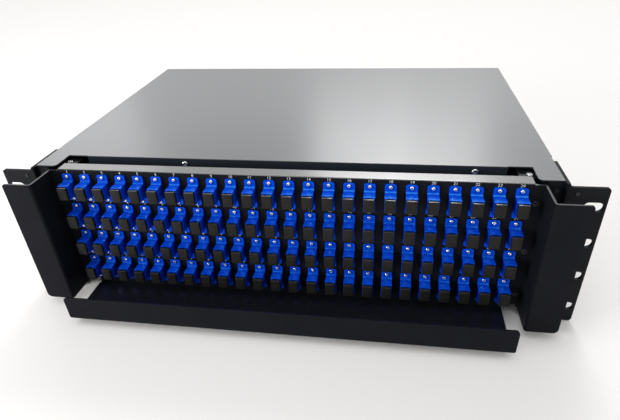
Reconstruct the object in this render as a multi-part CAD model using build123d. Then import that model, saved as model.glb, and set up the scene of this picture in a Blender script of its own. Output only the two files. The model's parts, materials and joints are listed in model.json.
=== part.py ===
from build123d import *
import os

# Rack-mount fibre patch panel with a pull-out drawer, in millimetres.
# While it is modelled, X is to the right, Y runs back from the front face of the rack ears,
# and Z runs up from the underside. Each piece is moved at the end, so that the origin is
# under the middle of the whole panel.

# Rack and chassis
rack_width = 482.6          # 19 inch front, across both ears
slot_span = 465.1           # ear slots, side to side
slot_pitch = 31.75          # ear slots, up and down
slot_length = 14.0
slot_height = 8.0
ear_sheet = 2.5
ear_bottom = 1.0
ear_top = 128.0
ear_plate_top = 130.8       # the ear's side plate is level with the cover
ear_depth = 39.0
ear_bend = 3.5              # inside radius of the ear's bend
height = 131.0              # fits a three-unit space
sheet = 1.2
half_chassis = 211.0        # outside of the base pan's side walls
chassis_front = 3.6
chassis_back = 291.0
cover_top_z = height
cover_under_z = height - sheet
cover_side = 1.0            # thickness of the cover's side flanges
cover_flange = 17.0         # depth of the cover's folded edges
cover_side_front = 46.0     # the side flanges start behind the ears
tab_front = 4.4             # front edge of the cover's corner tabs
recess_half = 193.0
recess_edge = 24.2
lip_half = 175.0
lip_depth = 12.0
lip_screw_x = (-86.0, 151.0)

# Drawer
half_drawer = 197.0
drawer_floor_z = 10.0
drawer_back = 262.0
drawer_wall_z = 92.0
drawer_corner_z = 127.2
panel_front = 1.0
panel_sheet = 1.5
panel_top = 129.5
strip_half = 190.0          # top flange of the adapter panel
strip_back = 12.5
guard_front = -26.0
guard_outer = 222.5
guard_tail = 14.0
guard_top = 128.5
tray_half = 184.0
tray_lip_half = 186.5
tray_front = -49.5
tray_lip_top = 32.0
tray_back = 30.0
notch_top = 13.5            # open corners beside the shelf, where the table shows through

# Adapters: 4 rows of 24
rows = 4
columns = 24
column_pitch = 15.8
row_pitch = 28.1
top_row_z = 113.4           # middle of the top row
port_w = 8.8
port_h = 12.2
ear_hole_z = 10.4           # adapter screws above and below the middle
adapter_ear_h = 25.2
adapter_ear_t = 1.8
adapter_front = -10.4
adapter_back = 14.0
cavity_w = 7.5
cavity_h = 9.0
cap_w = 8.0
cap_h = 11.4
cap_plate = 2.2
cap_gap = 0.7               # between a cap's face plate and the adapter

# Telescopic slides, one each side
slide_height = 45.0
slide_z = 60.0
slide_front = 16.0
slide_length = 254.0
slide_sheet = 1.2

# Cable glands and earth stud on the back
gland_x = 160.0
gland_z = 42.0
gland_bore_r = 6.5
gland_tip = 25.0            # how far the glands stand out of the back
stud_x = 60.0
stud_z = 28.0
stud_r = 3.0

# Splice trays
splice_w = 190.0
splice_d = 118.0
splice_h = 12.0
splice_y = 188.0
splice_count = 4
splice_wall = 1.8
splice_insert = 1.0         # thickness of the insert that carries the drums and the comb
splice_base_z = 16.2

screw_gap = 0.1             # radial clearance of a screw in its hole

whole_front = tray_front
whole_back = chassis_back + gland_tip
middle_y = (whole_front + whole_back) / 2
inner_wall = half_chassis - sheet
drawer_wall = half_drawer - sheet
top_of_floor = drawer_floor_z + sheet
both_sides = (-1, 1)
low_corner = (Align.CENTER, Align.CENTER, Align.MIN)

nodes = {}


# ---------------------------------------------------------------- helpers

def block(x0, x1, y0, y1, z0, z1):
    """Box between two opposite corners."""
    size = Box(abs(x1 - x0), abs(y1 - y0), abs(z1 - z0))
    return Pos((x0 + x1) / 2, (y0 + y1) / 2, (z0 + z1) / 2) * size


def side_block(side, x0, x1, y0, y1, z0, z1):
    """Box given for the right-hand side, on the side asked for."""
    return block(side * x0, side * x1, y0, y1, z0, z1)


def rod(radius, length, axis="Z"):
    """Cylinder from the origin along +X, +Y or +Z."""
    turn = {"X": Rot(0, 90, 0), "Y": Rot(-90, 0, 0), "Z": Rot(0, 0, 0)}[axis]
    return turn * Cylinder(radius, length, align=(Align.CENTER, Align.CENTER, Align.MIN))


def hole(x, y, z, radius, axis="Z", length=12.0):
    """Cutter centred on a point."""
    start = {"X": (length / 2, 0, 0), "Y": (0, length / 2, 0), "Z": (0, 0, length / 2)}[axis]
    return Pos(x - start[0], y - start[1], z - start[2]) * rod(radius, length, axis)


def cut(shape, cutters):
    """Take a list of cutters from a shape in one step."""
    return shape - Compound(children=list(cutters))


def edges_near(shape, axis, **place):
    """Straight edges along an axis that pass through the given coordinates."""
    found = shape.edges().filter_by(axis)
    for name, value in place.items():
        found = [e for e in found if abs(getattr(e.center(), name) - value) < 0.05]
    return found


def screw(diameter, grip, direction, head_r, head_h, rounding):
    """Cross-recess screw: its head sits on the origin and its shank runs the given way."""
    head = Cylinder(head_r, head_h, align=low_corner)
    head = fillet(head.edges().group_by(Axis.Z)[-1], rounding)
    arm = Pos(0, 0, head_h) * Box(head_r * 1.1, diameter * 0.2, head_h)
    head = head - (arm + Rot(0, 0, 90) * arm)
    shank = Pos(0, 0, -grip) * rod(diameter / 2, grip)
    turns = {
        "-Z": Rot(0, 0, 0),
        "+Z": Rot(180, 0, 0),
        "-X": Rot(0, 90, 0),
        "+X": Rot(0, -90, 0),
        "+Y": Rot(90, 0, 0),
        "-Y": Rot(-90, 0, 0),
    }
    return turns[direction] * (head + shank)


def pan_screw(diameter, grip, direction):
    """Screw with a pan head in the usual proportions."""
    head_h = diameter * 0.6
    return screw(diameter, grip, direction, diameter * 0.95, head_h, head_h * 0.6)


def thin_screw(diameter, grip, direction):
    """Screw with a low flat head, for places where something slides past close by."""
    return screw(diameter, grip, direction, diameter * 0.85, 0.6, 0.25)


def place_all(piece, points):
    """The same piece at each point, as separate solids."""
    return [Pos(*point) * piece for point in points]


def keep(name, shape):
    """Record a finished piece, or a list of equal pieces, under its node's name."""
    nodes[name] = Compound(children=shape) if isinstance(shape, list) else shape


def side_name(side):
    return "left" if side < 0 else "right"


# ---------------------------------------------------------------- fastener places

ear_screw_points = [(24.0, z) for z in (14.0, 31.0, 95.0, 112.0)]
cover_screw_y = (70.0, 165.0, 260.0)
cover_screw_z = 121.0
cover_back_x = (-150.0, 0.0, 150.0)
slide_screw_y = [slide_front + d for d in (70.0, 150.0, 235.0)]
back_screw_points = [(284.0, z) for z in (35.0, 95.0)]
bay_screw = (206.0, 123.0)
ear_front_screw = (219.4, 123.0)
panel_screw_x = 193.0
panel_screw_z = (25.0, 69.0, 113.0)
guard_screw_points = [(9.0, z) for z in (24.0, 69.0, 112.0)]
tray_screw_points = [(x, 21.0) for x in (-160.0, -55.0, 55.0, 160.0)]
corner_screw = (190.5, 20.0)
stud_points = [(x, splice_y) for x in (-splice_w / 2 + 7, splice_w / 2 - 7)]
spool_points = [(x, 108.0) for x in (-148.0, 148.0)]
clip_points = [(x, y) for x in (-182.0, 182.0) for y in (60.0, 170.0, 215.0)]
column_x = [(i - (columns - 1) / 2) * column_pitch for i in range(columns)]
row_z = [top_row_z - i * row_pitch for i in range(rows)]


# ---------------------------------------------------------------- chassis

def base_pan():
    """Bottom and side walls folded from one sheet, with top flanges and front tabs."""
    pan = block(-half_chassis, half_chassis, chassis_front, chassis_back, 0, sheet)
    pan += block(-176, 176, chassis_front, chassis_front + sheet, 0, 6)
    cutters = []
    for side in both_sides:
        pan += side_block(side, inner_wall, half_chassis, chassis_front, chassis_back, 0, cover_under_z)
        pan += side_block(side, 199.5, inner_wall, chassis_front, chassis_back - sheet,
                          cover_under_z - sheet, cover_under_z)
        for z0, z1 in ((4, 30), (100, cover_under_z)):
            pan += side_block(side, 199.5, inner_wall, chassis_front, chassis_front + sheet, z0, z1)
        x = side * half_chassis
        cutters += [hole(x, y, z, 2.0 + screw_gap, "X") for y, z in ear_screw_points]
        cutters += [hole(x, y, cover_screw_z, 1.5 + screw_gap, "X") for y in cover_screw_y]
        cutters += [hole(x, y, slide_z, 1.5 + screw_gap, "X") for y in slide_screw_y]
        cutters += [hole(x, y, z, 1.5 + screw_gap, "X") for y, z in back_screw_points]
        cutters.append(hole(side * bay_screw[0], chassis_front, bay_screw[1], 1.0 + screw_gap, "Y"))
        cutters.append(side_block(side, 180, inner_wall, 0, 34, -1, 3))
    return cut(pan, cutters)


def rear_panel():
    """Back wall with folded side flanges, gland holes and the earth stud's hole."""
    wall_front = chassis_back - sheet
    wall = block(-inner_wall, inner_wall, wall_front, chassis_back, sheet, cover_under_z)
    cutters = [hole(stud_x, chassis_back, stud_z, stud_r + screw_gap, "Y")]
    cutters += [hole(x, chassis_back, cover_screw_z, 1.5 + screw_gap, "Y") for x in cover_back_x]
    for side in both_sides:
        wall += side_block(side, inner_wall - sheet, inner_wall, 276, wall_front, 20, 110)
        cutters += [hole(side * inner_wall, y, z, 1.5 + screw_gap, "X") for y, z in back_screw_points]
        cutters.append(hole(side * gland_x, chassis_back, gland_z, 11.1, "Y"))
    return cut(wall, cutters)


def top_cover():
    """Lid with a front recess between two corner tabs, and edges folded down all round."""
    edge = half_chassis + cover_side
    back = chassis_back + sheet
    lid = block(-edge, edge, tab_front, back, cover_under_z, cover_top_z)
    lid -= block(-recess_half, recess_half, 0, recess_edge + cover_side, 0, height + 1)
    corners = edges_near(lid, Axis.Z, X=recess_half, Y=tab_front)
    corners += edges_near(lid, Axis.Z, X=-recess_half, Y=tab_front)
    lid = fillet(corners, 3.5)
    lip_back = recess_edge + cover_side
    lid += block(-lip_half, lip_half, recess_edge, lip_back, cover_top_z - lip_depth, cover_top_z)
    flange_low = cover_under_z - cover_flange
    lid += block(-edge, edge, chassis_back, back, flange_low, cover_under_z)
    for side in both_sides:
        lid += side_block(side, half_chassis, edge, cover_side_front, back, flange_low, cover_under_z)
    rounded = edges_near(lid, Axis.X, Y=recess_edge, Z=cover_top_z)
    rounded += edges_near(lid, Axis.X, Y=back, Z=cover_top_z)
    rounded += edges_near(lid, Axis.Y, X=edge, Z=cover_top_z)
    rounded += edges_near(lid, Axis.Y, X=-edge, Z=cover_top_z)
    lid = fillet(rounded, 0.8)
    cutters = [hole(x, recess_edge, 126, 1.5 + screw_gap, "Y", 6) for x in lip_screw_x]
    cutters += [hole(x, back, cover_screw_z, 1.5 + screw_gap, "Y") for x in cover_back_x]
    for side in both_sides:
        cutters += [hole(side * edge, y, cover_screw_z, 1.5 + screw_gap, "X") for y in cover_screw_y]
        cutters.append(side_block(side, half_chassis - 0.05, edge + 1, 0, cover_side_front, 110, height + 1))
    return cut(lid, cutters)


def cover_stiffener():
    """Angle strip behind the cover's front lip."""
    front = recess_edge + cover_side
    strip = block(-170, 170, front, front + 1, cover_top_z - lip_depth, cover_under_z)
    strip += block(-170, 170, front + 1, front + 14, cover_under_z - 1, cover_under_z)
    return cut(strip, [hole(x, front, 126, 1.5 + screw_gap, "Y", 6) for x in lip_screw_x])


def rack_ear(side):
    """Folded bracket: a plate on the chassis side and a slotted flange for the rack."""
    outer = rack_width / 2
    plate_out = half_chassis + ear_sheet
    ear = side_block(side, half_chassis, plate_out, 0, ear_depth, ear_bottom, ear_top)
    ear += side_block(side, half_chassis, outer, 0, ear_sheet, ear_bottom, ear_top)
    ear = fillet(edges_near(ear, Axis.Z, X=side * plate_out, Y=ear_sheet), ear_bend)
    step = ear_plate_top - ear_top
    web = side_block(side, plate_out, plate_out + step, 0, ear_sheet, ear_top, ear_plate_top)
    web -= hole(side * (plate_out + step), 0, ear_plate_top, step, "Y")
    ear = ear + side_block(side, half_chassis, plate_out, 0, ear_depth, 60, ear_plate_top) + web
    ear = fillet(edges_near(ear, Axis.Z, X=side * half_chassis, Y=0), 1.2)
    tips = edges_near(ear, Axis.Y, X=side * outer)
    tips += edges_near(ear, Axis.X, Y=ear_depth)
    ear = fillet(tips, 2.5)
    middle = (ear_bottom + ear_top) / 2
    slot = Rot(90, 0, 0) * extrude(SlotOverall(slot_length, slot_height), 6, both=True)
    cutters = [Pos(side * slot_span / 2, 0, middle + k * slot_pitch) * slot for k in (-1.5, -0.5, 0.5, 1.5)]
    cutters += [hole(side * half_chassis, y, z, 2.0 + screw_gap, "X") for y, z in ear_screw_points]
    cutters.append(hole(side * ear_front_screw[0], 0, ear_front_screw[1], 1.0 + screw_gap, "Y"))
    return cut(ear, cutters)


def chassis_screws():
    """Screws that hold the cover, ears, back wall and slides to the base pan."""
    cover, ears, slides, back = [], [], [], []
    for side in both_sides:
        inward = "-X" if side > 0 else "+X"
        outward = "+X" if side > 0 else "-X"
        edge = side * (half_chassis + cover_side)
        cover += place_all(pan_screw(3, 3.0, inward), [(edge, y, cover_screw_z) for y in cover_screw_y])
        plate = side * (half_chassis + ear_sheet)
        ears += place_all(pan_screw(4, 4.5, inward), [(plate, y, z) for y, z in ear_screw_points])
        web = side * (inner_wall - slide_sheet)
        slides += place_all(pan_screw(3, 2.4, outward), [(web, y, slide_z) for y in slide_screw_y])
        wall = side * half_chassis
        back += place_all(pan_screw(3, 3.4, inward), [(wall, y, z) for y, z in back_screw_points])
    outside = chassis_back + sheet
    cover += place_all(pan_screw(3, 3.4, "-Y"), [(x, outside, cover_screw_z) for x in cover_back_x])
    keep("cover_screws", cover)
    keep("rack_ear_screws", ears)
    keep("slide_outer_screws", slides)
    keep("rear_panel_screws", back)
    bay = thin_screw(2, 2.4, "+Y")
    front = [Pos(side * bay_screw[0], chassis_front, bay_screw[1]) * bay for side in both_sides]
    front += [Pos(side * ear_front_screw[0], 0, ear_front_screw[1]) * bay for side in both_sides]
    keep("front_bay_screws", front)
    keep("lip_screws", place_all(pan_screw(3, 2.4, "+Y"), [(x, recess_edge, 126) for x in lip_screw_x]))


# ---------------------------------------------------------------- slides

def channel(side, depth_out, depth_in, half_height, lip_in, start):
    """One slide member: a web with a lip along its top and bottom edges.

    Depths are measured from the chassis wall towards the drawer."""
    web_side = inner_wall - depth_out
    member = side_block(side, web_side, web_side - slide_sheet, start, start + slide_length,
                        slide_z - half_height, slide_z + half_height)
    for way in both_sides:
        outer = slide_z + way * half_height
        inner = outer - way * slide_sheet
        member += side_block(side, web_side, inner_wall - depth_in, start, start + slide_length,
                             min(outer, inner), max(outer, inner))
        tip = inner - way * lip_in
        if lip_in > 0:
            edge = inner_wall - depth_in
            member += side_block(side, edge, edge + slide_sheet, start, start + slide_length,
                                 min(inner, tip), max(inner, tip))
    return member


def slide_outer(side):
    """Member screwed to the chassis."""
    member = channel(side, 0, 9.0, slide_height / 2, 2.6, slide_front)
    return cut(member, [hole(side * inner_wall, y, slide_z, 1.5 + screw_gap, "X") for y in slide_screw_y])


def slide_middle(side):
    """Member that runs between the other two."""
    member = channel(side, 3.6, 10.6, 16.5, 2.2, slide_front)
    reach = inner_wall - 3.6
    length = slide_length - 30
    for way in both_sides:
        low = slide_z + way * 16.5
        high = low + way * 2.6
        member += side_block(side, reach, reach - 3.0, slide_front + 15, slide_front + 15 + length,
                             min(low, high), max(low, high))
    return member


def slide_inner(side):
    """Member screwed to the drawer's side wall, with its lips towards the chassis."""
    web = half_drawer
    member = side_block(side, web, web + slide_sheet, slide_front, slide_front + slide_length,
                        slide_z - 11, slide_z + 11)
    for way in both_sides:
        outer = slide_z + way * 11
        inner = outer - way * slide_sheet
        member += side_block(side, web, web + 6.0, slide_front, slide_front + slide_length,
                             min(outer, inner), max(outer, inner))
    return cut(member, [hole(side * web, y, slide_z, 1.5 + screw_gap, "X") for y in slide_screw_y])


def drawer_stop(side):
    """Rubber buffer inside the back wall, where the drawer's back wall meets it."""
    front = drawer_back + 1.5
    return Pos(side * 107, front, 22) * rod(7, chassis_back - sheet - front, "Y")


# ---------------------------------------------------------------- back fittings

def ring(outer_r, inner_r, length):
    """Tube along +Y from the origin."""
    return rod(outer_r, length, "Y") - Pos(0, -1, 0) * rod(inner_r, length + 2, "Y")


def hexagon(across_flats, length):
    """Hexagonal bar along +Y from the origin."""
    profile = RegularPolygon(across_flats / 2, 6, major_radius=False)
    return Rot(-90, 0, 0) * extrude(profile, length)


def cable_glands():
    """Two glands through the back wall: body, lock nut, rubber seal and domed nut."""
    bodies, locknuts, seals, caps = [], [], [], []
    bore = Pos(0, -30, 0) * rod(8.0, 60, "Y")
    body = Pos(0, -10, 0) * rod(11.0, 22, "Y") + hexagon(27, 5) - bore
    locknut = Pos(0, -sheet - 5, 0) * (hexagon(27, 5) - Pos(0, -1, 0) * rod(11.1, 8, "Y"))
    seal = Pos(0, 12, 0) * ring(9.4, gland_bore_r, 10)
    dome = Pos(0, 5, 0) * rod(13.2, 20, "Y")
    dome = fillet(dome.edges().group_by(Axis.Y)[-1], 4.0)
    dome = dome - Pos(0, 4, 0) * rod(11.1, 8.1, "Y") - Pos(0, 12, 0) * rod(9.5, 10.1, "Y")
    dome = dome - Pos(0, 20, 0) * rod(8.0, 10, "Y")
    grip = Pos(13.4, 14, 0) * Box(1.6, 10, 1.2)
    dome = cut(dome, [Rot(0, 30 * k, 0) * grip for k in range(12)])
    for side in both_sides:
        spot = Pos(side * gland_x, chassis_back, gland_z)
        bodies.append(spot * body)
        locknuts.append(spot * locknut)
        seals.append(spot * seal)
        caps.append(spot * dome)
    keep("cable_gland_bodies", bodies)
    keep("cable_gland_locknuts", locknuts)
    keep("cable_gland_seals", seals)
    keep("cable_gland_domed_nuts", caps)


def earth_stud():
    """Stud through the back wall, with a nut and washer outside."""
    spot = Pos(stud_x, chassis_back, stud_z)
    stud = Pos(0, -sheet - 4, 0) * hexagon(10, 4) + Pos(0, -sheet, 0) * rod(stud_r, 19, "Y")
    keep("earth_stud", spot * stud)
    washer = ring(6.0, stud_r + 0.05, 1.2)
    nut = Pos(0, 1.2, 0) * (hexagon(10, 5) - Pos(0, -1, 0) * rod(stud_r + 0.05, 8, "Y"))
    keep("earth_stud_nut", [spot * washer, spot * nut])


# ---------------------------------------------------------------- drawer

def drawer_tray():
    """Drawer body: floor, two side walls with folded edges, and a low back wall."""
    front = panel_front + panel_sheet
    tray = block(-half_drawer, half_drawer, front, drawer_back, drawer_floor_z, top_of_floor)
    tray += block(-drawer_wall, drawer_wall, drawer_back - sheet, drawer_back, drawer_floor_z, 34)
    outline = [
        (front, drawer_floor_z),
        (drawer_back, drawer_floor_z),
        (drawer_back, drawer_wall_z - 20),
        (drawer_back - 20, drawer_wall_z),
        (80, drawer_wall_z),
        (46, drawer_corner_z),
        (front, drawer_corner_z),
    ]
    cutters = []
    for side in both_sides:
        face = Plane.YZ * Polygon(*outline, align=None)
        wall = extrude(face, sheet)
        tray += Pos(half_drawer - sheet if side > 0 else -half_drawer, 0, 0) * wall
        tray += side_block(side, 189.0, drawer_wall, front, front + sheet, notch_top, drawer_corner_z)
        tray += side_block(side, 182.0, drawer_wall, 13.5, 46, drawer_corner_z - sheet, drawer_corner_z)
        cutters += [hole(side * half_drawer, y, slide_z, 1.5 + screw_gap, "X") for y in slide_screw_y]
        cutters += [hole(side * half_drawer, y, z, 1.5 + screw_gap, "X") for y, z in guard_screw_points]
        cutters += [hole(side * panel_screw_x, front, z, 1.5 + screw_gap, "Y", 6) for z in panel_screw_z]
        cutters.append(hole(side * corner_screw[0], corner_screw[1], drawer_corner_z, 1.5 + screw_gap))
        cutters.append(side_block(side, tray_half, drawer_wall, 0, 22, drawer_floor_z - 1, notch_top))
        cutters.append(block(side * 130, side * 175, drawer_back - 6, drawer_back + 6, 20, 40))
    cutters += [hole(x, y, drawer_floor_z, 1.5 + screw_gap) for x, y in tray_screw_points]
    cutters += [hole(x, y, drawer_floor_z, 2.0 + screw_gap) for x, y in stud_points]
    cutters += [hole(x, y, drawer_floor_z, 1.5 + screw_gap) for x, y in spool_points]
    cutters += [hole(x, y, drawer_floor_z, 1.5 + screw_gap) for x, y in clip_points]
    return cut(tray, cutters)


def adapter_panel():
    """Front panel with a folded top flange and an opening for each adapter."""
    face = Pos(0, (panel_top + drawer_floor_z) / 2) * Rectangle(2 * half_drawer, panel_top - drawer_floor_z)
    window = Rectangle(port_w + 0.4, port_h + 0.4)
    screw_hole = Circle(1.1 + 0.05)
    openings = []
    for z in row_z:
        for x in column_x:
            openings.append(Pos(x, z) * window)
            openings += [Pos(x, z + way * ear_hole_z) * screw_hole for way in both_sides]
    notch = Rectangle(half_drawer - tray_half, notch_top - drawer_floor_z)
    for side in both_sides:
        openings += [Pos(side * panel_screw_x, z) * Circle(1.5 + screw_gap) for z in panel_screw_z]
        openings.append(Pos(side * (half_drawer + tray_half) / 2, (notch_top + drawer_floor_z) / 2) * notch)
    face = face - openings
    back = panel_front + panel_sheet
    panel = extrude(Plane.XZ.offset(-back) * face, panel_sheet)
    panel += block(-strip_half, strip_half, back, strip_back, panel_top - panel_sheet, panel_top)
    panel = panel - block(-half_drawer - 1, -strip_half, 0, back + 1, panel_top - 1.0, panel_top + 1)
    panel = panel - block(strip_half, half_drawer + 1, 0, back + 1, panel_top - 1.0, panel_top + 1)
    bend = edges_near(panel, Axis.X, Y=panel_front, Z=panel_top)
    return fillet(bend, 1.2)


def side_guard(side):
    """Cable guard: it stands forward beside the panel, then turns outward."""
    plate = half_drawer + panel_sheet
    guard = side_block(side, half_drawer, plate, guard_front, guard_tail, drawer_floor_z, guard_top)
    guard += side_block(side, half_drawer, guard_outer, guard_front, guard_front + panel_sheet,
                        drawer_floor_z, guard_top)
    guard = fillet(edges_near(guard, Axis.Z, X=side * half_drawer, Y=guard_front), 2.4)
    guard = fillet(edges_near(guard, Axis.Z, X=side * plate, Y=guard_front + panel_sheet), 0.9)
    tips = edges_near(guard, Axis.Y, X=side * guard_outer, Z=drawer_floor_z)
    guard = fillet(tips, 4.0)
    guard = fillet(edges_near(guard, Axis.Y, X=side * guard_outer, Z=guard_top), 2.5)
    return cut(guard, [hole(side * plate, y, z, 1.5 + screw_gap, "X", 6) for y, z in guard_screw_points])


def cable_tray():
    """Shelf under the ports, with an upturned front lip wider than the shelf."""
    under = drawer_floor_z - panel_sheet
    tray = block(-tray_half, tray_half, tray_front, tray_back, under, drawer_floor_z)
    lip = block(-tray_lip_half, tray_lip_half, tray_front, tray_front + panel_sheet, under, tray_lip_top)
    corners = edges_near(lip, Axis.Y, Z=tray_lip_top)
    lip = fillet(corners, 3.5)
    lip = fillet(edges_near(lip, Axis.Y, Z=under), 3.0)
    tray = tray + lip
    tray = fillet(edges_near(tray, Axis.X, Y=tray_front, Z=under), 1.4)
    return cut(tray, [hole(x, y, under, 1.5 + screw_gap) for x, y in tray_screw_points])


def drawer_screws():
    """Screws that hold the panel, guards, shelf and slide members to the drawer."""
    panel, guards, slides, corners = [], [], [], []
    for side in both_sides:
        outward = "+X" if side > 0 else "-X"
        points = [(side * panel_screw_x, panel_front, z) for z in panel_screw_z]
        panel += place_all(thin_screw(3, 2.7, "+Y"), points)
        wall = side * drawer_wall
        guards += place_all(pan_screw(3, 2.7, outward), [(wall, y, z) for y, z in guard_screw_points])
        slides += place_all(pan_screw(3, 2.4, outward), [(wall, y, slide_z) for y in slide_screw_y])
        spot = (side * corner_screw[0], corner_screw[1], drawer_corner_z)
        corners += place_all(thin_screw(3, 4.0, "-Z"), [spot])
    keep("panel_screws", panel)
    keep("slide_inner_screws", slides)
    keep("corner_screws", corners)
    shelf = [(x, y, top_of_floor) for x, y in tray_screw_points]
    guards += place_all(pan_screw(3, 2.7, "-Z"), shelf)
    keep("guard_and_tray_screws", guards)


# ---------------------------------------------------------------- adapters

def adapter():
    """Through adapter on its mounting ears, open at both ends round a middle web."""
    half_w = port_w / 2
    ear_front = panel_front - adapter_ear_t
    middle = (adapter_front + adapter_back) / 2
    body = block(-half_w, half_w, adapter_front, panel_front, -port_h / 2, port_h / 2)
    ears = block(-half_w, half_w, ear_front, panel_front, -adapter_ear_h / 2, adapter_ear_h / 2)
    ears = fillet(ears.edges().filter_by(Axis.Y), 1.6)
    shape = body + ears
    roots = edges_near(shape, Axis.X, Y=ear_front, Z=port_h / 2)
    roots += edges_near(shape, Axis.X, Y=ear_front, Z=-port_h / 2)
    shape = fillet(roots, 2.2)
    shape += block(-half_w, half_w, panel_front, adapter_back, -port_h / 2, port_h / 2)
    for y0, y1 in ((adapter_front - 1, middle - 1), (middle + 1, adapter_back + 1)):
        shape -= block(-cavity_w / 2, cavity_w / 2, y0, y1, -cavity_h / 2, cavity_h / 2)
        shape -= block(-1.3, 1.3, y0, y1, 0, cavity_h / 2 + 1.1)
    shape -= hole(0, middle, 0, 1.65, "Y")
    for way in both_sides:
        shape -= hole(0, ear_front, way * ear_hole_z, 1.1 + 0.05, "Y", 6)
    return shape


def dust_cap():
    """Plug for a port, with a face plate a little smaller than the adapter's end."""
    face = adapter_front - cap_gap
    plate = block(-cap_w / 2, cap_w / 2, face - cap_plate, face, -cap_h / 2, cap_h / 2)
    plate = fillet(plate.edges().group_by(Axis.Y)[0], 0.45)
    plug = block(-cavity_w / 2 + 0.35, cavity_w / 2 - 0.35, face, face + 6.0, -4.1, 4.1)
    plug = fillet(plug.edges().filter_by(Axis.Y), 0.8)
    return plate + plug


def rear_cap():
    """Smaller plug for the back of a port."""
    plate = block(-3.6, 3.6, adapter_back, adapter_back + 2.0, -5.0, 5.0)
    plug = block(-3.2, 3.2, adapter_back - 5.0, adapter_back, -4.0, 4.0)
    return plate + plug


def small_screw():
    """Adapter screw along +Y, with a low domed head in front of the origin."""
    head = Pos(0, -1.3, 0) * rod(1.65, 1.3, "Y")
    head = fillet(head.edges().group_by(Axis.Y)[0], 0.9)
    return head + rod(1.1, 4.5, "Y")


def adapter_rows():
    """Four rows of adapters with their sleeves, screws and caps."""
    one_adapter = adapter()
    one_cap = dust_cap()
    one_rear_cap = rear_cap()
    sleeve_front = (adapter_front + adapter_back) / 2 - 5.0
    one_sleeve = Pos(0, sleeve_front, 0) * ring(1.6, 1.25, 10.0)
    one_screw = Pos(0, panel_front - adapter_ear_t, 0) * small_screw()
    sleeves, screws, rear_caps = [], [], []
    for number, z in enumerate(row_z, start=1):
        spots = [(x, 0, z) for x in column_x]
        fixed = spots[:-1] if number == 1 else spots
        keep("adapters_row_%d" % number, place_all(one_adapter, fixed))
        keep("dust_caps_row_%d" % number, place_all(one_cap, fixed))
        sleeves += place_all(one_sleeve, spots)
        rear_caps += place_all(one_rear_cap, spots)
        for way in both_sides:
            screws += place_all(one_screw, [(x, 0, z + way * ear_hole_z) for x in column_x])
    keep("adapter_sleeves", sleeves)
    keep("adapter_screws", screws)
    keep("rear_dust_caps", rear_caps)
    keep("open_port_adapter", Pos(column_x[-1], 0, row_z[0]) * one_adapter)
    keep("pull_off_dust_cap", Pos(column_x[-1], 0, row_z[0]) * one_cap)


# ---------------------------------------------------------------- fibre management

def rounded_slab(width, depth, thick, radius):
    """Slab on Z=0 with round corners."""
    return extrude(RectangleRounded(width, depth, radius), thick)


def splice_tray():
    """Shallow open tray with a hole for each stud."""
    tray = rounded_slab(splice_w, splice_d, splice_h, 5)
    inside = rounded_slab(splice_w - 2 * splice_wall, splice_d - 2 * splice_wall, splice_h, 5 - splice_wall)
    tray -= Pos(0, 0, splice_wall) * inside
    return cut(tray, [hole(x, 0, 0, 2.1) for x, y in stud_points])


def splice_insert_piece():
    """Insert of a tray: a thin plate with two winding drums, stud bosses and a comb for the splices."""
    room = splice_h - splice_wall
    margin = 2 * splice_wall + 0.4
    insert = rounded_slab(splice_w - margin, splice_d - margin, splice_insert, 3)
    drum = rod(24, room) - Pos(0, 0, splice_insert) * rod(22.4, room)
    for side in both_sides:
        insert += Pos(side * 58, -14, 0) * drum
    insert += [Pos(x, 0, 0) * rod(4.5, room) for x, y in stud_points]
    insert += [Pos(-36 + k * 6, 40, 3.4) * Box(1.2, 12, 6) for k in range(13)]
    insert = cut(insert, [hole(x, 0, 0, 2.1, length=40) for x, y in stud_points])
    return Pos(0, 0, splice_wall) * insert


def splice_stack():
    """Four trays on two studs, with a clear lid, wing nuts and the splices of the top tray."""
    one_tray = splice_tray()
    spots = [Pos(0, splice_y, splice_base_z + k * splice_h) for k in range(splice_count)]
    for number, spot in enumerate(spots, start=1):
        keep("splice_tray_%d" % number, spot * one_tray)
    insert = splice_insert_piece()
    keep("splice_tray_inserts", [spot * insert for spot in spots])
    top = splice_base_z + splice_count * splice_h
    lid = Pos(0, splice_y, top) * rounded_slab(splice_w, splice_d, 1.5, 5)
    keep("splice_tray_lid", cut(lid, [hole(x, y, top, 2.1) for x, y in stud_points]))
    spacer = Pos(0, 0, top_of_floor) * (rod(6, splice_base_z - top_of_floor) - Pos(0, 0, -1) * rod(2.05, 9))
    keep("splice_tray_spacers", place_all(spacer, [(x, y, 0) for x, y in stud_points]))
    stud = Pos(0, 0, drawer_floor_z - 1.2) * rod(3.6, 1.2)
    stud += Pos(0, 0, drawer_floor_z) * rod(2.0, top + 9 - drawer_floor_z)
    keep("splice_tray_studs", place_all(stud, [(x, y, 0) for x, y in stud_points]))
    nut = Pos(0, 0, top + 1.5) * rod(4.2, 4.0)
    for way in both_sides:
        nut += Pos(way * 6.5, 0, top + 5.0) * Box(7.0, 1.6, 6.0)
    nut -= Pos(0, 0, top) * rod(2.05, 12)
    keep("splice_tray_wing_nuts", place_all(nut, [(x, y, 0) for x, y in stud_points]))
    floor = splice_base_z + (splice_count - 1) * splice_h + splice_wall + splice_insert
    sleeve = Pos(0, -22, 1.5) * rod(1.4, 44, "Y")
    spots = [(-33 + k * 6, splice_y + 33, floor + row * 3.1) for k in range(12) for row in (0, 1)]
    keep("splice_protectors", place_all(sleeve, spots))


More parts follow.
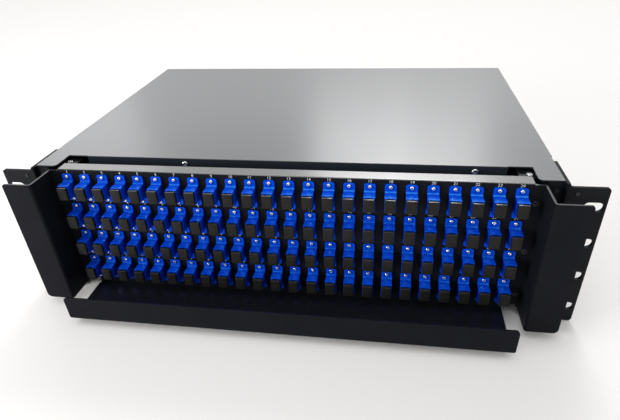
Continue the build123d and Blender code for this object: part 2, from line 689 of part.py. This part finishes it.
def fibre_spools():
    """Two winding drums on the drawer floor, with tabs over the fibre."""
    drum = rod(30, 24) - Pos(0, 0, 2) * rod(28.4, 30)
    for k in range(4):
        tab = Pos(33.5, 0, 23.2) * Box(11, 12, 1.6)
        drum += Rot(0, 0, 45 + 90 * k) * tab
    drum -= Pos(0, 0, -1) * rod(1.6, 6)
    drum = Pos(0, 0, top_of_floor) * drum
    keep("fibre_spools", place_all(drum, [(x, y, 0) for x, y in spool_points]))
    screw = Pos(0, 0, top_of_floor + 2) * pan_screw(3, 3.2, "-Z")
    keep("fibre_spool_screws", place_all(screw, [(x, y, 0) for x, y in spool_points]))


def fibre_clips():
    """Open loops along the drawer's sides that hold the fibres."""
    clip = Box(9, 10, 1.6, align=low_corner)
    clip += Pos(-3.7, 0, 0) * Box(1.6, 10, 18, align=low_corner)
    clip += Pos(3.7, 0, 0) * Box(1.6, 10, 14, align=low_corner)
    clip += Pos(-1.2, 0, 16.4) * Box(6.6, 10, 1.6, align=low_corner)
    peg = Pos(0, 0, -sheet) * rod(1.5, sheet)
    clip = Pos(0, 0, top_of_floor) * (clip + peg)
    keep("fibre_clips", place_all(clip, [(x, y, 0) for x, y in clip_points]))


# ---------------------------------------------------------------- all pieces

def build():
    keep("base_pan", base_pan())
    keep("rear_panel", rear_panel())
    keep("top_cover", top_cover())
    keep("cover_stiffener", cover_stiffener())
    chassis_screws()
    cable_glands()
    earth_stud()
    keep("drawer_tray", drawer_tray())
    keep("adapter_panel", adapter_panel())
    keep("cable_tray", cable_tray())
    drawer_screws()
    adapter_rows()
    splice_stack()
    fibre_spools()
    fibre_clips()
    for side in both_sides:
        name = side_name(side)
        keep("rack_ear_" + name, rack_ear(side))
        keep("slide_outer_" + name, slide_outer(side))
        keep("slide_middle_" + name, slide_middle(side))
        keep("slide_inner_" + name, slide_inner(side))
        keep("side_guard_" + name, side_guard(side))
    keep("drawer_stops", [drawer_stop(side) for side in both_sides])
    os.makedirs("parts", exist_ok=True)
    for name, shape in nodes.items():
        export_step(Pos(0, -middle_y, 0) * shape, "parts/%s.step" % name)
    print(len(nodes), "nodes")


build()
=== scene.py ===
import json
import math
import random

import bmesh
import bpy
from mathutils import Matrix, Vector


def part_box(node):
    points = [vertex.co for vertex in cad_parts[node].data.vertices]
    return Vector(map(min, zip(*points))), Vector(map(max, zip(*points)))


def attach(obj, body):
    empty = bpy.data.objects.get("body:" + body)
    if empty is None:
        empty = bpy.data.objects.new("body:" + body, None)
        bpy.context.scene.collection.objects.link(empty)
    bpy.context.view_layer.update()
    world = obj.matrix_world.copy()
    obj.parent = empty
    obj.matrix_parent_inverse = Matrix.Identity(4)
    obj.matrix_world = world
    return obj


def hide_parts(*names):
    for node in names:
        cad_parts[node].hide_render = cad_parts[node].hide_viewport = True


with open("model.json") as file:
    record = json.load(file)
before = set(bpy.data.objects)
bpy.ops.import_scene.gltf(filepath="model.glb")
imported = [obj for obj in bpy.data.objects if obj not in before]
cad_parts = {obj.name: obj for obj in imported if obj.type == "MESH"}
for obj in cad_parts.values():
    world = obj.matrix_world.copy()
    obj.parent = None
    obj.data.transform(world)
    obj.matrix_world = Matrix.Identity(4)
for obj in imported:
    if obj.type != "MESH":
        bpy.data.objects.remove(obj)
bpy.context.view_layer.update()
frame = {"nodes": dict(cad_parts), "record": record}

# Looks of a rack-mount fibre patch panel. Metres, in the frame of the CAD model: X to the right,
# Y to the back, Z up. Sizes and places of the pieces made here come from the boxes of the CAD nodes.

MM = 0.001
ROWS = 4
COLUMNS = 24
SEED = 12

# A port's housing and the ears it is screwed down by.
PORT_WIDTH = 8.8 * MM
PORT_HEIGHT = 12.2 * MM
EAR_SHEET = 1.8 * MM
SCREW_INSET = 2.2 * MM         # from an ear's tip to the middle of its screw
CAP_GAP = 0.7 * MM             # between a cap's face plate and its housing

# CAD nodes whose finish differs from the others in their material slot.
FINISH_OF_NODE = {"adapter_panel": "panel_paint"}


# ---------------------------------------------------------------- camera, floor and lights

def make_camera():
    """Camera at the photograph's viewing angle: to the right of the middle, close and high."""
    data = bpy.data.cameras.new("camera")
    data.lens = 28.445
    data.sensor_width = 36.0
    data.clip_start = 0.01
    camera = bpy.data.objects.new("camera", data)
    bpy.context.scene.collection.objects.link(camera)
    heading = Matrix.Rotation(math.radians(10.2), 4, "Z")
    tilt = Matrix.Rotation(math.radians(90.0 - 31.7), 4, "X")
    roll = Matrix.Rotation(math.radians(-3.06), 4, "Z")
    place = Matrix.Translation((0.0830, -0.4627, 0.3068))
    camera.matrix_world = place @ heading @ tilt @ roll
    bpy.context.scene.camera = camera


def softbox(name, azimuth, elevation, size, brightness, distance=12.0):
    """Area light aimed at the object. Azimuth 0 is behind it and positive is to the right."""
    data = bpy.data.lights.new(name, "AREA")
    data.shape = "RECTANGLE"
    data.size, data.size_y = size
    data.energy = brightness * size[0] * size[1] * math.pi
    light = bpy.data.objects.new(name, data)
    bpy.context.scene.collection.objects.link(light)
    turn = math.radians(azimuth)
    rise = math.radians(elevation)
    away = Vector((math.sin(turn) * math.cos(rise), math.cos(turn) * math.cos(rise), math.sin(rise)))
    light.location = Vector((0, 0, 0.1)) + away * distance
    light.rotation_mode = "QUATERNION"
    light.rotation_quaternion = away.to_track_quat("Z", "Y")
    light.visible_camera = False


def make_lights():
    """Pale surroundings, a broad light overhead, soft panels behind and a low light in front on the left."""
    world = bpy.data.worlds.new("pale_room")
    world.use_nodes = True
    background = world.node_tree.nodes["Background"]
    background.inputs["Color"].default_value = (1.0, 1.0, 1.0, 1.0)
    background.inputs["Strength"].default_value = 0.42
    bpy.context.scene.world = world
    softbox("sky_behind", -6, 30, (16.0, 6.8), 0.63)
    softbox("window_behind", -3.5, 33, (2.2, 4.8), 1.63)
    softbox("window_behind_right", 7, 33, (2.1, 4.8), 1.32)
    softbox("window_behind_high", -6, 43, (15.0, 2.6), 1.53)
    softbox("window_behind_top", 5, 42, (3.4, 3.2), 8.39)
    softbox("sky_behind_left", -46, 30, (6.4, 5.8), 0.65)
    softbox("lamp_front_left", -128, 12, (0.64, 0.43), 17.96, 1.6)
    softbox("light_overhead", 180, 70, (4.5, 4.5), 1.8, 4.5)


def floor_material():
    material, tree, shader = new_material("floor_paper")
    speckle = noise(tree, 900.0, 3.0)
    tone = mix_colour(tree, speckle, (0.85, 0.835, 0.82, 1), (0.88, 0.865, 0.85, 1))
    tree.links.new(tone, shader.inputs["Base Color"])
    shader.inputs["Roughness"].default_value = 0.9
    shader.inputs["Specular IOR Level"].default_value = 0.1
    return material


def make_floor():
    half = 8.0
    mesh = bpy.data.meshes.new("floor")
    corners = [(-half, -half, 0), (half, -half, 0), (half, half, 0), (-half, half, 0)]
    mesh.from_pydata(corners, [], [(0, 1, 2, 3)])
    floor = bpy.data.objects.new("floor", mesh)
    bpy.context.scene.collection.objects.link(floor)
    floor.data.materials.append(floor_material())


# ---------------------------------------------------------------- material helpers

def new_material(name):
    """Node material, as (material, tree, Principled shader)."""
    material = bpy.data.materials.new(name)
    material.use_nodes = True
    tree = material.node_tree
    return material, tree, tree.nodes["Principled BSDF"]


def add_node(tree, kind, values=None, **settings):
    """Shader node with its settings, and its inputs set to constants or linked to outputs."""
    made = tree.nodes.new("ShaderNode" + kind)
    for name, value in settings.items():
        setattr(made, name, value)
    for socket, value in (values or {}).items():
        if isinstance(value, bpy.types.NodeSocket):
            tree.links.new(value, made.inputs[socket])
        else:
            made.inputs[socket].default_value = value
    return made


def noise(tree, scale, detail=2.0, stretch=(1, 1, 1)):
    """Noise in the piece's own metres: scale is roughly the number of blotches to a metre."""
    place = add_node(tree, "TexCoord").outputs["Object"]
    mapped = add_node(tree, "Mapping", {"Vector": place, "Scale": stretch}).outputs["Vector"]
    return add_node(tree, "TexNoise", {"Vector": mapped, "Scale": scale, "Detail": detail}).outputs[0]


def map_range(tree, value, low, high, new_low, new_high):
    values = {"Value": value, "From Min": low, "From Max": high, "To Min": new_low, "To Max": new_high}
    return add_node(tree, "MapRange", values).outputs["Result"]


def multiply(tree, a, b):
    return add_node(tree, "Math", {0: a, 1: b}, operation="MULTIPLY").outputs[0]


def mix_colour(tree, factor, a, b):
    """Blend of two colours, each a constant or a linked output."""
    return add_node(tree, "Mix", {0: factor, 6: a, 7: b}, data_type="RGBA").outputs[2]


def rounded_normal(tree, radius):
    """Normal that rounds sharp edges off in the shading."""
    return add_node(tree, "Bevel", {"Radius": radius}, samples=4).outputs["Normal"]


def edge_mask(tree, normal):
    """1 along sharp edges and 0 on flat faces."""
    flat = add_node(tree, "NewGeometry").outputs["Normal"]
    same = add_node(tree, "VectorMath", {0: flat, 1: normal}, operation="DOT_PRODUCT").outputs["Value"]
    return map_range(tree, same, 0.995, 0.86, 0.0, 1.0)


def bump(tree, height, depth, normal, strength=1.0):
    values = {"Height": height, "Distance": depth, "Normal": normal, "Strength": strength}
    return add_node(tree, "Bump", values).outputs["Normal"]


def surface(name, colour, tint, roughness, grain, wear=None, edge=0.25 * MM, mottle=40.0, stretch=(1, 1, 1),
            **constants):
    """Procedural finish: two-tone mottling, uneven gloss, fine grain in the surface and worn edges.

    roughness is (least, most), grain is (features to a metre, depth in metres), and wear is
    (colour, amount). Other values go straight onto the shader."""
    material, tree, shader = new_material(name)
    normal = rounded_normal(tree, edge)
    blotches = noise(tree, mottle, 4.0, stretch)
    tone = mix_colour(tree, map_range(tree, blotches, 0.3, 0.7, 0.0, 1.0), (*colour, 1), (*tint, 1))
    # Lighter colour along sharp edges: wear, which on the cover is also a painted highlight.
    if wear:
        worn_colour, amount = wear
        broken = map_range(tree, noise(tree, 600.0, 3.0), 0.35, 0.65, 0.35, 1.0)
        mask = multiply(tree, multiply(tree, edge_mask(tree, normal), broken), amount)
        tone = mix_colour(tree, mask, tone, (*worn_colour, 1))
    tree.links.new(tone, shader.inputs["Base Color"])
    fine = noise(tree, grain[0], 2.0, stretch)
    gloss = map_range(tree, noise(tree, mottle * 2.3, 3.0, stretch), 0.3, 0.7, *roughness)
    tree.links.new(gloss, shader.inputs["Roughness"])
    tree.links.new(bump(tree, fine, grain[1], normal), shader.inputs["Normal"])
    for socket, value in constants.items():
        shader.inputs[socket.replace("_", " ")].default_value = value
    return material


def gloss_upward(material, socket="Coat Weight", least=0.0):
    """Let a finish's gloss show fully only on faces that look up."""
    tree = material.node_tree
    facing = add_node(tree, "NewGeometry").outputs["Normal"]
    upward = add_node(tree, "SeparateXYZ", {"Vector": facing}).outputs["Z"]
    amount = map_range(tree, upward, 0.55, 0.95, least, 1.0)
    tree.links.new(amount, tree.nodes["Principled BSDF"].inputs[socket])
    return material


def shade_crevices(material, painted_shade_colour, reach):
    """Paint shade into a finish's colour where other faces stand within reach of it."""
    tree = material.node_tree
    base = tree.nodes["Principled BSDF"].inputs["Base Color"]
    tone = base.links[0].from_socket
    openness = add_node(tree, "AmbientOcclusion", {"Distance": reach}, samples=8).outputs["AO"]
    amount = map_range(tree, openness, 0.35, 0.9, 0.0, 1.0)
    tree.links.new(mix_colour(tree, amount, (*painted_shade_colour, 1), tone), base)
    return material


# ---------------------------------------------------------------- materials

def chassis_paint():
    """Black powder coat with a fine orange-peel texture."""
    return surface("chassis_paint", (0.006, 0.0065, 0.009), (0.009, 0.010, 0.013), (0.42, 0.52),
                   (1300, 0.012 * MM), wear=((0.05, 0.05, 0.06), 0.5), Specular_IOR_Level=0.10)


def cover_paint():
    """Smooth semi-gloss black coat. Its pale worn edges are partly wear and partly a painted highlight along
    the cover's edges.
    """
    material = surface("cover_paint", (0.018, 0.022, 0.028), (0.020, 0.025, 0.032), (0.25, 0.27),
                       (1500, 0.0008 * MM), wear=((0.12, 0.13, 0.14), 0.5), mottle=9.0, IOR=1.37,
                       Coat_Roughness=0.22, Coat_IOR=1.6)
    gloss_upward(material, "Specular IOR Level", 0.15)
    return gloss_upward(material)


def drawer_paint():
    """Black powder coat, which hands and cloths have made glossier where it faces upward."""
    material = surface("drawer_paint", (0.0065, 0.007, 0.0095), (0.0085, 0.009, 0.012),
                       (0.38, 0.48), (1300, 0.006 * MM), wear=((0.05, 0.05, 0.06), 0.6),
                       Specular_IOR_Level=0.05, Coat_Roughness=0.22, Coat_IOR=1.5)
    return gloss_upward(material)


def panel_paint():
    """The drawer's paint on the adapter panel, whose folded top edge is the glossiest."""
    material = surface("panel_paint", (0.0065, 0.007, 0.0095), (0.0085, 0.009, 0.012), (0.38, 0.48),
                       (1300, 0.003 * MM), wear=((0.05, 0.05, 0.06), 0.6), Specular_IOR_Level=0.05,
                       Coat_Roughness=0.20, Coat_IOR=2.6)
    return gloss_upward(material)


def black_screws():
    """Black-plated steel, rubbed at the edges."""
    return surface("black_screws", (0.02, 0.02, 0.022), (0.035, 0.035, 0.04), (0.28, 0.42),
                   (2500, 0.006 * MM), wear=((0.25, 0.25, 0.26), 0.6), edge=0.12 * MM, Metallic=0.7)


def zinc_screws():
    """Bright zinc plate."""
    return surface("zinc_screws", (0.70, 0.71, 0.73), (0.82, 0.82, 0.83), (0.16, 0.30),
                   (2600, 0.006 * MM), wear=((0.92, 0.92, 0.92), 0.5), edge=0.1 * MM, mottle=300.0,
                   Metallic=1.0)


def slide_steel():
    """Zinc-plated rolled steel with marks along its length."""
    return surface("slide_steel", (0.52, 0.54, 0.57), (0.66, 0.67, 0.68), (0.24, 0.40),
                   (1800, 0.006 * MM), wear=((0.85, 0.85, 0.86), 0.5), mottle=220.0,
                   stretch=(1, 0.06, 1), Metallic=1.0)


def gland_nylon():
    return surface("gland_nylon", (0.014, 0.014, 0.016), (0.022, 0.022, 0.025), (0.42, 0.55),
                   (1500, 0.02 * MM), wear=((0.07, 0.07, 0.075), 0.6))


def rubber():
    return surface("rubber", (0.016, 0.016, 0.016), (0.028, 0.028, 0.028), (0.72, 0.88),
                   (900, 0.03 * MM), wear=((0.05, 0.05, 0.05), 0.5), Specular_IOR_Level=0.3)


def brass():
    return surface("brass", (0.72, 0.50, 0.20), (0.80, 0.60, 0.28), (0.18, 0.32),
                   (1700, 0.006 * MM), wear=((0.93, 0.76, 0.42), 0.5), mottle=260.0, Metallic=1.0)


def adapter_blue():
    """Moulded blue plastic with a satin skin, and painted shade where housings stand close to each other and
    to the panel.
    """
    material = surface("adapter_blue", (0.0006, 0.066, 0.72), (0.0008, 0.074, 0.76), (0.26, 0.30),
                       (1900, 0.001 * MM), wear=((0.01, 0.14, 0.85), 0.5), edge=0.2 * MM,
                       mottle=90.0, IOR=1.9, Specular_Tint=(0.10, 0.70, 1.0, 1.0))
    # Painted shade: darker blue on faces that other faces stand within 9 mm of, such as the housings' sides.
    shade_crevices(material, (0.0003, 0.010, 0.13), 9.0 * MM)
    return gloss_upward(material, "Specular IOR Level", 0.06)


def cap_grey():
    """Soft dark grey plastic of the dust caps."""
    material = surface("cap_grey", (0.011, 0.0105, 0.010), (0.015, 0.0145, 0.0135), (0.38, 0.48),
                       (1400, 0.006 * MM), wear=((0.08, 0.08, 0.08), 0.6), mottle=160.0,
                       Specular_IOR_Level=0.12, Coat_Roughness=0.25, Coat_IOR=1.6)
    return gloss_upward(material)


def rear_cap_white():
    return surface("rear_cap_white", (0.72, 0.72, 0.69), (0.80, 0.80, 0.78), (0.35, 0.48),
                   (1400, 0.015 * MM), wear=((0.88, 0.88, 0.86), 0.5), mottle=150.0,
                   Subsurface_Weight=0.1, Subsurface_Scale=0.002)


def sleeve_ceramic():
    return surface("sleeve_ceramic", (0.84, 0.83, 0.80), (0.90, 0.89, 0.87), (0.10, 0.18),
                   (2400, 0.003 * MM), mottle=300.0, Coat_Weight=0.5)


def splice_plastic():
    """Off-white moulded plastic."""
    return surface("splice_plastic", (0.62, 0.62, 0.58), (0.72, 0.72, 0.68), (0.34, 0.46),
                   (1200, 0.015 * MM), wear=((0.85, 0.85, 0.82), 0.5), mottle=60.0,
                   Subsurface_Weight=0.15, Subsurface_Scale=0.003)


def lid_clear():
    """Clear polycarbonate sheet with faint scuffs."""
    return surface("lid_clear", (0.92, 0.96, 0.97), (0.97, 0.99, 1.0), (0.05, 0.14),
                   (700, 0.004 * MM), mottle=30.0, Transmission_Weight=0.92, IOR=1.58)


def protector_clear():
    """Heat-shrunk tube over a splice, with its steel rod showing through."""
    return surface("protector_clear", (0.66, 0.64, 0.58), (0.78, 0.77, 0.72), (0.14, 0.26),
                   (900, 0.02 * MM), mottle=400.0, stretch=(1, 0.1, 1), Coat_Weight=0.6)


def clip_nylon():
    return surface("clip_nylon", (0.62, 0.62, 0.58), (0.74, 0.74, 0.70), (0.36, 0.50),
                   (1300, 0.02 * MM), wear=((0.84, 0.84, 0.80), 0.5), mottle=120.0,
                   Subsurface_Weight=0.2, Subsurface_Scale=0.003)


def print_white():
    """Screen-printed white ink, thinner in places."""
    return surface("print_white", (0.62, 0.63, 0.65), (0.80, 0.80, 0.81), (0.5, 0.7),
                   (2600, 0.01 * MM), mottle=1500.0)


# ---------------------------------------------------------------- shaping helpers

def box_shape(shape, low, high):
    """Closed box between two corners, as its list of faces."""
    made = bmesh.ops.create_cube(shape, size=1.0)["verts"]
    size = Vector(high) - Vector(low)
    middle = (Vector(high) + Vector(low)) / 2
    for vertex in made:
        vertex.co = Vector(a * b for a, b in zip(vertex.co, size)) + middle
    return list({face for vertex in made for face in vertex.link_faces})


def face_at(shape, axis, value):
    """Largest face square to an axis at that coordinate."""
    found = [f for f in shape.faces if all(abs(v.co[axis] - value) < 1e-6 for v in f.verts)]
    return max(found, key=lambda f: f.calc_area())


def sharp_edges(shape, least=math.radians(50)):
    return [e for e in shape.edges if len(e.link_faces) == 2 and e.calc_face_angle() > least]


def round_edges(shape, radius, segments=2, edges=None):
    chosen = sharp_edges(shape) if edges is None else edges
    bmesh.ops.bevel(shape, geom=chosen, offset=radius, segments=segments, profile=0.5, affect="EDGES",
                    clamp_overlap=True)


def pocket(shape, face, outline, depth):
    """Sink a hole with the given (x, z) outline into a face square to Y, or raise a boss from it.

    A positive depth goes towards +Y."""
    y = face.verts[0].co.y
    rim = list(face.edges)
    shape.faces.remove(face)
    corners = [shape.verts.new((x, y, z)) for x, z in outline]
    inner = [shape.edges.new(pair) for pair in zip(corners, corners[1:] + corners[:1])]
    bmesh.ops.triangle_fill(shape, edges=rim + inner, use_beauty=True)
    grown = bmesh.ops.extrude_edge_only(shape, edges=inner)["geom"]
    deep = [g for g in grown if isinstance(g, bmesh.types.BMVert)]
    bmesh.ops.translate(shape, verts=deep, vec=(0, depth, 0))
    bottom = [g for g in grown if isinstance(g, bmesh.types.BMEdge) and all(v in deep for v in g.verts)]
    bmesh.ops.contextual_create(shape, geom=bottom)
    bmesh.ops.recalc_face_normals(shape, faces=shape.faces)


def copies(shape, places, turns=None):
    """Mesh with one copy of a shape at each place, each turned about Y by its own angle."""
    one = bpy.data.meshes.new("one")
    shape.to_mesh(one)
    joined = bmesh.new()
    for index, place in enumerate(places):
        before = len(joined.verts)
        joined.from_mesh(one)
        joined.verts.ensure_lookup_table()
        added = joined.verts[before:]
        if turns:
            turn = Matrix.Rotation(turns[index], 3, "Y")
            bmesh.ops.rotate(joined, verts=added, cent=(0, 0, 0), matrix=turn)
        bmesh.ops.translate(joined, verts=added, vec=place)
    shape.free()
    bpy.data.meshes.remove(one)
    return joined


def finish_piece(name, shape, material, body, replaced=(), smooth=math.radians(21)):
    """Turn a shape into a piece that rides on a body and stands for CAD nodes."""
    mesh = bpy.data.meshes.new(name)
    shape.to_mesh(mesh)
    shape.free()
    mesh.materials.append(material)
    mesh.shade_smooth()
    mesh.set_sharp_from_angle(angle=smooth)
    piece = bpy.data.objects.new(name, mesh)
    bpy.context.scene.collection.objects.link(piece)
    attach(piece, body)
    if replaced:
        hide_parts(*replaced)
    return piece


# ---------------------------------------------------------------- adapters and caps

def row_node(number):
    return "adapters_row_%d" % number


def row_places(number):
    """Middle of each port of a row, on the plane Y = 0."""
    left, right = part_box(row_node(ROWS))
    pitch = (right.x - left.x - PORT_WIDTH) / (COLUMNS - 1)
    first = left.x + PORT_WIDTH / 2
    low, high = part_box(row_node(number))
    return [Vector((first + k * pitch, 0, (low.z + high.z) / 2)) for k in range(COLUMNS)]


def adapter_shape():
    """Housing with its two mounting ears, open at the front and the back, about the port's middle."""
    low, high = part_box(row_node(1))
    half_w = PORT_WIDTH / 2
    half_h = PORT_HEIGHT / 2
    tip = (high.z - low.z) / 2
    panel_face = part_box("adapter_panel")[0].y
    ear_face = panel_face - EAR_SHEET
    root = 2.2 * MM
    corner = 1.6 * MM
    steps = 5
    shoulder = tip - corner

    outline = [(low.y, -half_h), (low.y, half_h)]
    for k in range(steps + 1):
        angle = math.pi / 2 * k / steps
        outline.append((ear_face - root + root * math.sin(angle), half_h + root - root * math.cos(angle)))
    outline += [(ear_face, shoulder), (panel_face, shoulder), (panel_face, half_h), (high.y, half_h)]
    lower = [(y, -z) for y, z in outline[2:]]
    outline += lower[::-1]

    shape = bmesh.new()
    side = shape.faces.new([shape.verts.new((-half_w, y, z)) for y, z in outline])
    grown = bmesh.ops.extrude_face_region(shape, geom=[side])["geom"]
    moved = [g for g in grown if isinstance(g, bmesh.types.BMVert)]
    bmesh.ops.translate(shape, verts=moved, vec=(2 * half_w, 0, 0))
    for way in (1, -1):
        top = face_at(shape, 2, way * shoulder)
        for k in range(1, steps + 1):
            angle = math.pi / 2 * k / steps
            grown = bmesh.ops.extrude_discrete_faces(shape, faces=[top])["faces"]
            top = grown[0]
            for vertex in top.verts:
                vertex.co.z = way * (shoulder + corner * math.sin(angle))
                vertex.co.x = math.copysign(half_w - corner + corner * math.cos(angle), vertex.co.x)
    bmesh.ops.remove_doubles(shape, verts=shape.verts, dist=1e-7)
    bmesh.ops.recalc_face_normals(shape, faces=shape.faces)
    round_edges(shape, 0.28 * MM)

    cavity_w = 3.75 * MM
    cavity_h = 4.5 * MM
    key = 1.3 * MM
    key_top = cavity_h + 1.1 * MM
    hole = [(-cavity_w, -cavity_h), (cavity_w, -cavity_h), (cavity_w, cavity_h), (key, cavity_h),
            (key, key_top), (-key, key_top), (-key, cavity_h), (-cavity_w, cavity_h)]
    depth = (high.y - low.y) / 2 - 1.0 * MM
    pocket(shape, face_at(shape, 1, low.y), hole, depth)
    pocket(shape, face_at(shape, 1, high.y), hole, -depth)
    return shape


def cap_shape():
    """Dust cap: a face plate with softened edges, a gate mark, and the plug behind it."""
    low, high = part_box("pull_off_dust_cap")
    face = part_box(row_node(1))[0].y
    half_w = (high.x - low.x) / 2
    half_h = (high.z - low.z) / 2
    plate_back = face - CAP_GAP
    shape = bmesh.new()
    box_shape(shape, (-half_w, low.y, -half_h), (half_w, plate_back, half_h))
    round_edges(shape, 0.4 * MM, 3)
    gate = [(0.7 * MM * math.cos(math.pi * k / 8), 0.7 * MM * math.sin(math.pi * k / 8)) for k in range(16)]
    pocket(shape, face_at(shape, 1, low.y), gate, 0.12 * MM)
    plug_w = 3.4 * MM
    plug_h = 4.1 * MM
    chamfer = 0.8 * MM
    plug = [(-plug_w, -plug_h + chamfer), (-plug_w + chamfer, -plug_h), (plug_w - chamfer, -plug_h),
            (plug_w, -plug_h + chamfer), (plug_w, plug_h - chamfer), (plug_w - chamfer, plug_h),
            (-plug_w + chamfer, plug_h), (-plug_w, plug_h - chamfer)]
    pocket(shape, face_at(shape, 1, plate_back), plug, 6.0 * MM)
    return shape


def cross_outline(reach, arm):
    """Outline of a cross recess, as (x, z) points."""
    quarter = [(reach, -arm), (reach, arm), (arm, arm)]
    points = []
    for k in range(4):
        turn = Matrix.Rotation(math.pi / 2 * k, 2)
        points += [tuple(turn @ Vector(p)) for p in quarter]
    return points


def screw_shape():
    """Small domed cross-recess screw head with a stub of its shank, facing -Y from the origin."""
    radius = 1.65 * MM
    rise = 1.15 * MM
    flat = 1.1 * MM
    around = 20
    skirt = 0.30 * MM
    rings = [(radius, 0.0), (radius, skirt)]
    for k in range(1, 5):
        angle = math.pi / 2 * k / 5
        rings.append((flat + (radius - flat) * math.cos(angle), skirt + (rise - skirt) * math.sin(angle)))
    rings.append((flat, rise))
    shape = bmesh.new()
    loops = []
    for r, height in rings:
        loop = []
        for k in range(around):
            angle = 2 * math.pi * k / around
            loop.append(shape.verts.new((r * math.cos(angle), -height, r * math.sin(angle))))
        loops.append(loop)
    for low, high in zip(loops, loops[1:]):
        for k in range(around):
            after = (k + 1) % around
            shape.faces.new((low[k], low[after], high[after], high[k]))
    shape.faces.new(loops[0])
    shape.faces.new(loops[-1])
    bmesh.ops.recalc_face_normals(shape, faces=shape.faces)
    pocket(shape, face_at(shape, 1, -rise), cross_outline(0.95 * MM, 0.2 * MM), 0.7 * MM)
    return shape


def number_mesh(text, height):
    """Flat outline of a number, standing in the X-Z plane and centred on the origin."""
    curve = bpy.data.curves.new("number", "FONT")
    curve.body = text
    curve.size = height / 0.7
    curve.align_x = "CENTER"
    curve.align_y = "CENTER"
    curve.extrude = 0.02 * MM
    curve.resolution_u = 3
    holder = bpy.data.objects.new("number", curve)
    mesh = bpy.data.meshes.new_from_object(holder)
    mesh.transform(Matrix.Rotation(math.pi / 2, 4, "X"))
    bpy.data.objects.remove(holder)
    return mesh


def port_numbers(number, material):
    """The numbers of a row's ports, printed just above the ears."""
    height = 2.4 * MM
    ear_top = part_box(row_node(number))[1].z
    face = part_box("adapter_panel")[0].y
    joined = bmesh.new()
    for column, place in enumerate(row_places(number), start=1):
        mesh = number_mesh(str(column), height)
        mesh.transform(Matrix.Translation((place.x, face - 0.01 * MM, ear_top + height / 2 + 0.25 * MM)))
        joined.from_mesh(mesh)
        bpy.data.meshes.remove(mesh)
    finish_piece("port_numbers_row_%d" % number, joined, material, "drawer")


def make_ports(finish):
    """Housings, caps, screws and numbers of the four rows."""
    spin = random.Random(SEED)
    screw_places = []
    for number in range(1, ROWS + 1):
        places = row_places(number)
        housings = copies(adapter_shape(), places)
        stands_for = [row_node(number), "open_port_adapter"] if number == 1 else [row_node(number)]
        finish_piece("housings_row_%d" % number, housings, finish["adapter_blue"], "drawer",
                     stands_for)
        fixed = places[:-1] if number == 1 else places
        caps = copies(cap_shape(), fixed)
        finish_piece("caps_row_%d" % number, caps, finish["cap_grey"], "drawer",
                     ["dust_caps_row_%d" % number])
        port_numbers(number, finish["print_white"])
        low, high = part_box(row_node(number))
        reach = (high.z - low.z) / 2 - SCREW_INSET
        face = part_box("adapter_panel")[0].y - EAR_SHEET
        screw_places += [p + Vector((0, face, way * reach)) for p in places for way in (-1, 1)]
    low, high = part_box("pull_off_dust_cap")
    middle = (low + high) / 2
    loose = copies(cap_shape(), [Vector((middle.x, 0, middle.z))])
    finish_piece("loose_cap", loose, finish["cap_grey"], "dust_cap", ["pull_off_dust_cap"])
    turns = [spin.uniform(0, math.pi / 2) for _ in screw_places]
    screws = copies(screw_shape(), screw_places, turns)
    finish_piece("port_screws", screws, finish["zinc_screws"], "drawer", ["adapter_screws"])


# ---------------------------------------------------------------- the whole scene

def all_finishes():
    makers = (chassis_paint, cover_paint, drawer_paint, panel_paint, black_screws, zinc_screws,
              slide_steel, gland_nylon, rubber, brass, adapter_blue, cap_grey, rear_cap_white,
              sleeve_ceramic, splice_plastic, lid_clear, protector_clear, clip_nylon, print_white)
    return {make.__name__: make() for make in makers}


def paint_cad_nodes(finish):
    """Give each CAD node its own finish, or else that of its material slot."""
    for part in frame["record"]["subparts"]:
        mesh = frame["nodes"][part["node"]].data
        mesh.materials.clear()
        name = FINISH_OF_NODE.get(part["node"], part["material_slot"])
        mesh.materials.append(finish[name])


bpy.context.scene.view_settings.view_transform = "Standard"
make_camera()
make_lights()
make_floor()
finish = all_finishes()
paint_cad_nodes(finish)
make_ports(finish)
